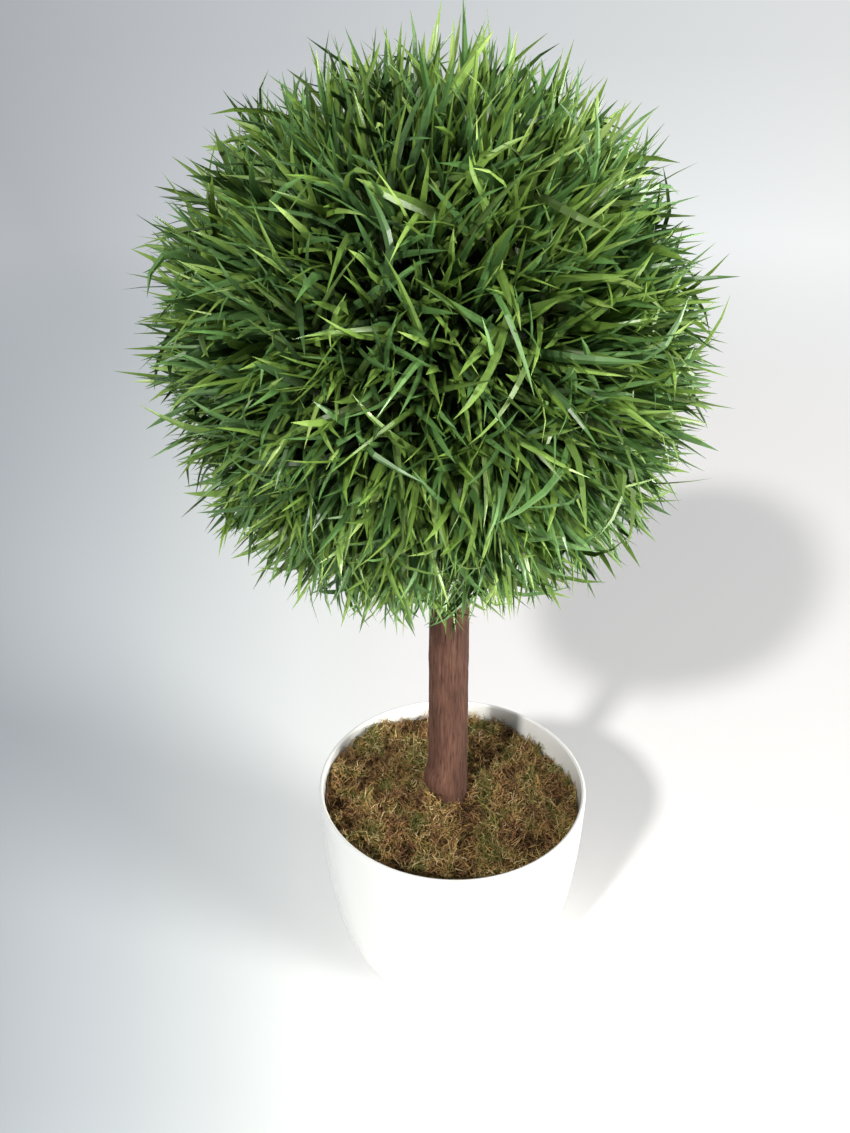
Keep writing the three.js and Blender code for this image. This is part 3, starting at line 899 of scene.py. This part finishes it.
# The room's brightness at the floor's edge, from the left in front, 0, to the right behind, 1.
BRIGHTEST_WAY = (math.sqrt(0.5), math.sqrt(0.5), 0)
ROOM_COLORS = (
    (0.0, srgb(160, 165, 170)),
    (0.677, srgb(167, 171, 176)),
    (0.854, srgb(205, 209, 212)),
    (0.967, srgb(226, 228, 228)),
)
OVERHEAD = 0.6  # brightness of the room overhead as a share of that at the floor's edge

# Painted light and shade on the plain paper, from its darker left side, 0, to its brighter right side, 1.
PAINTED_FLOOR_LIGHT = (
    (0.0, srgb(172, 178, 186)),
    (0.2, srgb(209, 214, 218)),
    (0.37, srgb(242, 244, 244)),
    (0.5, srgb(252, 249, 249)),
)
FAN_START = 0.59  # how far in front of the pot the colours' fan starts
FAN_WIDTH = 0.5  # least distance past that start at which it opens further

# Between these distances the paper fades into a painted glow of the room's colour, an emission that is
# brighter near the pot than at the edge.
PAPER_END = 0.5
ROOM_START = 2.4
NEAR_GLOW = 1.45


def make_camera():
    camera = bpy.data.objects.new("camera", bpy.data.cameras.new("camera"))
    camera.location = CAMERA_PLACE
    camera.rotation_euler = (CAMERA_PITCH, 0, 0)
    camera.data.lens = CAMERA_LENS
    camera.data.clip_start = 0.01
    bpy.context.scene.collection.objects.link(camera)
    bpy.context.scene.camera = camera


def room_color(made, way):
    """The room's colour in a direction along the floor."""
    share = made.spread(made.vector("DOT_PRODUCT", way, BRIGHTEST_WAY), 0, 1, -1, 1)
    return made.ramp(share, *ROOM_COLORS)


def floor_paper():
    """Pale plain paper with painted light and shade: grey to the left and almost white to the right, in a fan
    that opens to the back. Far off it has a painted glow of the room's colour.
    """
    finish = Finish("floor_paper", srgb(235, 238, 242), 0.8, Specular_IOR_Level=0.15)
    parts = finish.add("ShaderNodeSeparateXYZ", Vector=finish.place()).outputs
    back = finish.number("ADD", parts["Y"], FAN_START)
    fan = finish.number("DIVIDE", parts["X"], finish.number("MAXIMUM", back, FAN_WIDTH))
    # Painted light and shade: the paper's colour runs from grey on the left to white on the right.
    finish.feed("Base Color", finish.ramp(finish.spread(fan, 0, 1, -0.5, 0.5), *PAINTED_FLOOR_LIGHT))

    distance = finish.vector("LENGTH", finish.place())
    nearness = finish.number("POWER", distance, -1)
    # Painted light: far off, the paper glows with the room's colour, though it is no lamp.
    far_glow = finish.add(
        "ShaderNodeEmission",
        Color=room_color(finish, finish.vector("NORMALIZE", finish.place())),
        Strength=finish.spread(nearness, 1, NEAR_GLOW),
    )
    both = finish.add("ShaderNodeMixShader", Fac=finish.soft_share(distance, PAPER_END, ROOM_START))
    finish.give(finish.shader.outputs["BSDF"], both.inputs[1])
    finish.give(far_glow.outputs["Emission"], both.inputs[2])
    finish.give(both.outputs["Shader"], finish.nodes["Material Output"].inputs["Surface"])
    return finish.material


def make_floor():
    angles = np.arange(FLOOR_FACETS) * 2 * math.pi / FLOOR_FACETS
    ring = [(FLOOR_RADIUS * math.cos(a), FLOOR_RADIUS * math.sin(a), 0) for a in angles]
    mesh = bpy.data.meshes.new("floor")
    mesh.from_pydata(ring, [], [range(FLOOR_FACETS)])
    mesh.materials.append(floor_paper())
    floor = bpy.data.objects.new("floor", mesh)
    bpy.context.scene.collection.objects.link(floor)


def add_area_light(name, way, distance, size, power, color):
    """A round soft light that shines at the ball's middle from a distance along way."""
    light = bpy.data.lights.new(name, "AREA")
    light.shape = "DISK"
    light.size = size
    light.energy = power
    light.color = color
    lamp = bpy.data.objects.new(name, light)
    lamp.location = Vector(BALL_MIDDLE) + Vector(way).normalized() * distance
    lamp.rotation_euler = Vector(way).to_track_quat("Z", "Y").to_euler()
    bpy.context.scene.collection.objects.link(lamp)


def room_sky():
    """Soft light from all round, brightest from the right behind and dimmer from overhead."""
    world = bpy.data.worlds.new("room")
    world.use_nodes = True
    made = Tree(world.node_tree)
    way = made.add("ShaderNodeTexCoord").outputs["Generated"]
    upward = made.add("ShaderNodeSeparateXYZ", Vector=way).outputs["Z"]
    background = made.nodes["Background"].inputs
    made.give(room_color(made, way), background["Color"])
    made.give(made.spread(upward, 1, OVERHEAD), background["Strength"])
    return world


def make_light():
    bpy.context.scene.world = room_sky()
    for light in LIGHTS:
        add_area_light(*light)
    bpy.context.scene.view_settings.view_transform = "Standard"


def paint_plug():
    """The plug keeps its CAD shape."""
    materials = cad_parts["plug"].data.materials
    materials.clear()
    materials.append(plug_foam())


make_camera()
make_floor()
make_light()
make_pot()
paint_plug()
make_trunk()
make_core()
make_grass()
make_moss()
